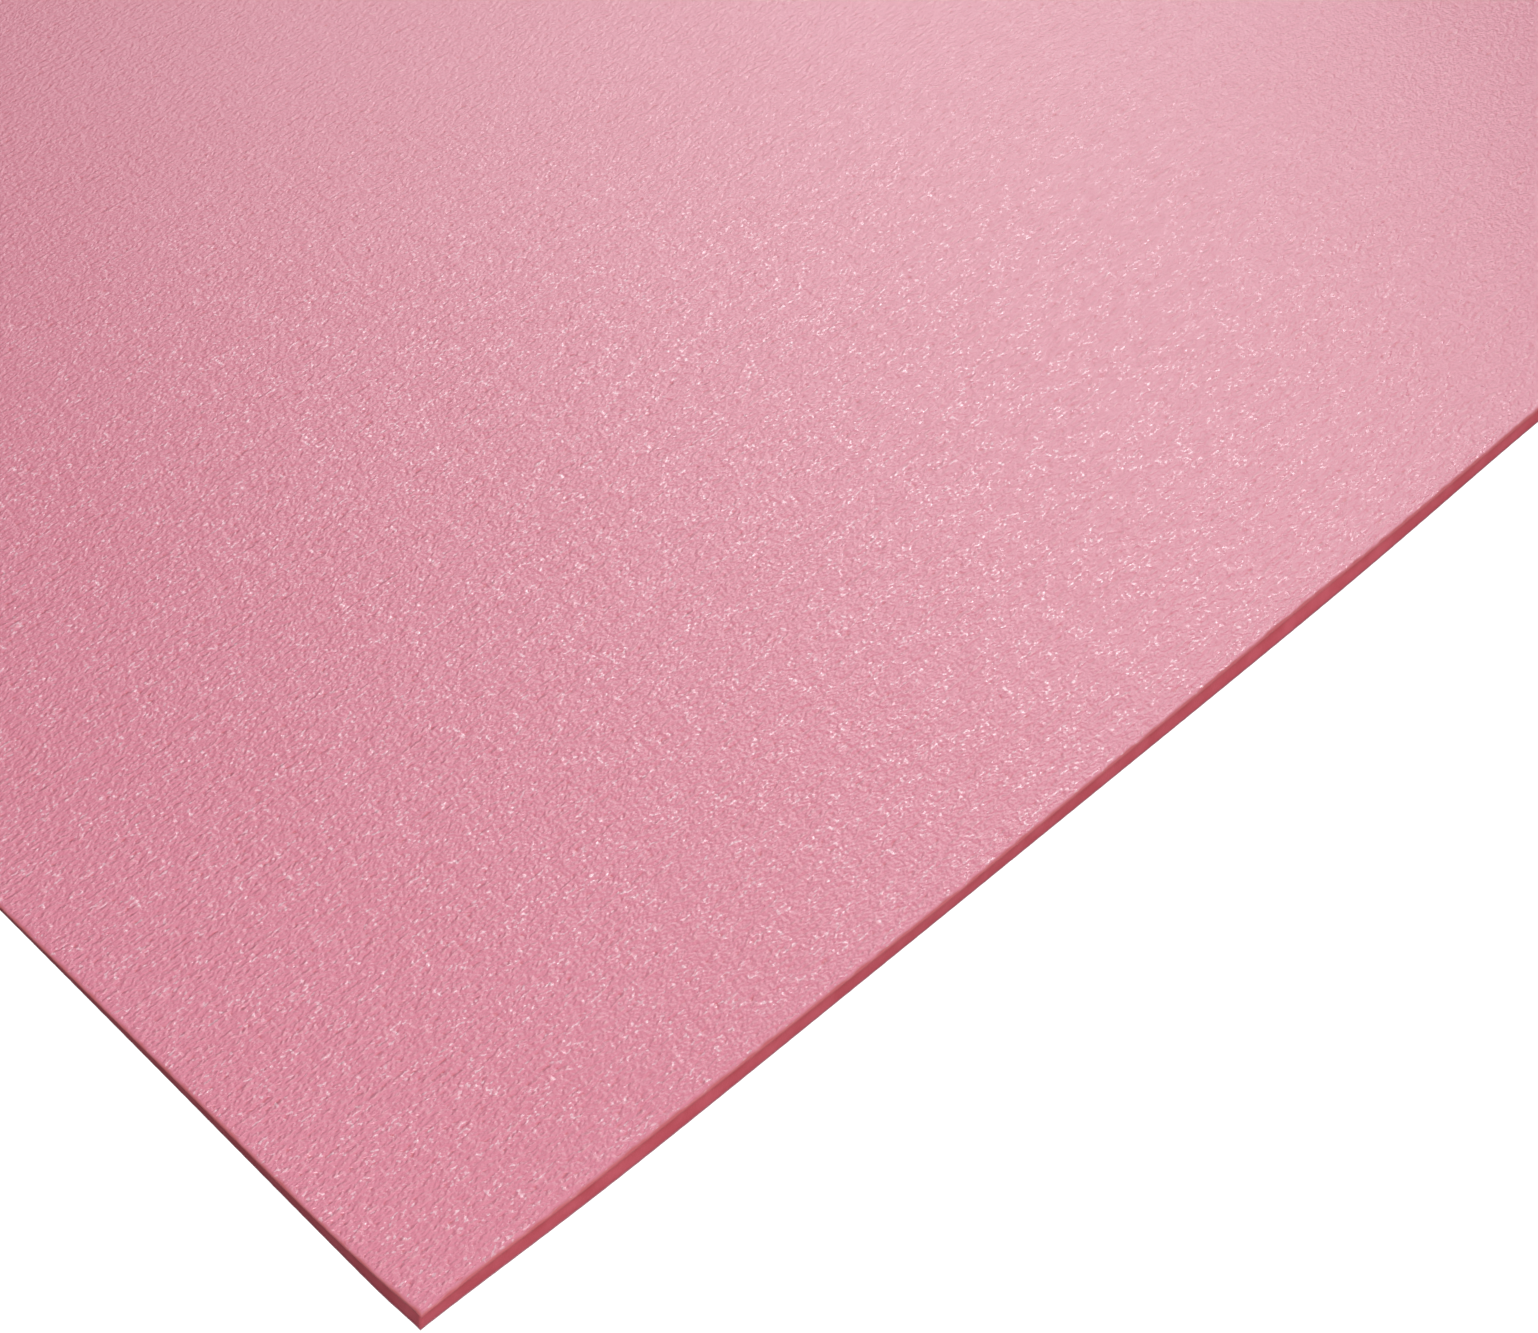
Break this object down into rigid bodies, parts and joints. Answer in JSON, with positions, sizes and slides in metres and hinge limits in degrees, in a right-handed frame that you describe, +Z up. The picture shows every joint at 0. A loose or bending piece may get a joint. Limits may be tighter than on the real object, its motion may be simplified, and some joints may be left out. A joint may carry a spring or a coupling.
{
  "type": "scoring mat",
  "caption": "Thin soft square foam mat with a fine linen-embossed pearly working face, cut square, to lie under paper while it is scored, embossed or pricked.",
  "frame": {"origin": "centre of the flat underside that the mat rests on", "axes": "+Z up through the mat's thickness, out of the embossed working face; +X and +Y along the cut edges, with the rows of the emboss along X"},
  "size_m": [0.305, 0.305, 0.003],
  "materials": {
    "pearl_pink_skin": "pearly light pink film with a fine linen emboss in staggered rows, satin, with small glints",
    "crimson_foam": "closed-cell foam, matte, deeper crimson pink where it is cut",
    "plain_underside_skin": "smooth matte skin, deep dusky pink"
  },
  "bodies": {
    "root": {"embossed_face_skin": "pearl_pink_skin", "foam_core": "crimson_foam", "underside_skin": "plain_underside_skin"}
  },
  "joints": []
}
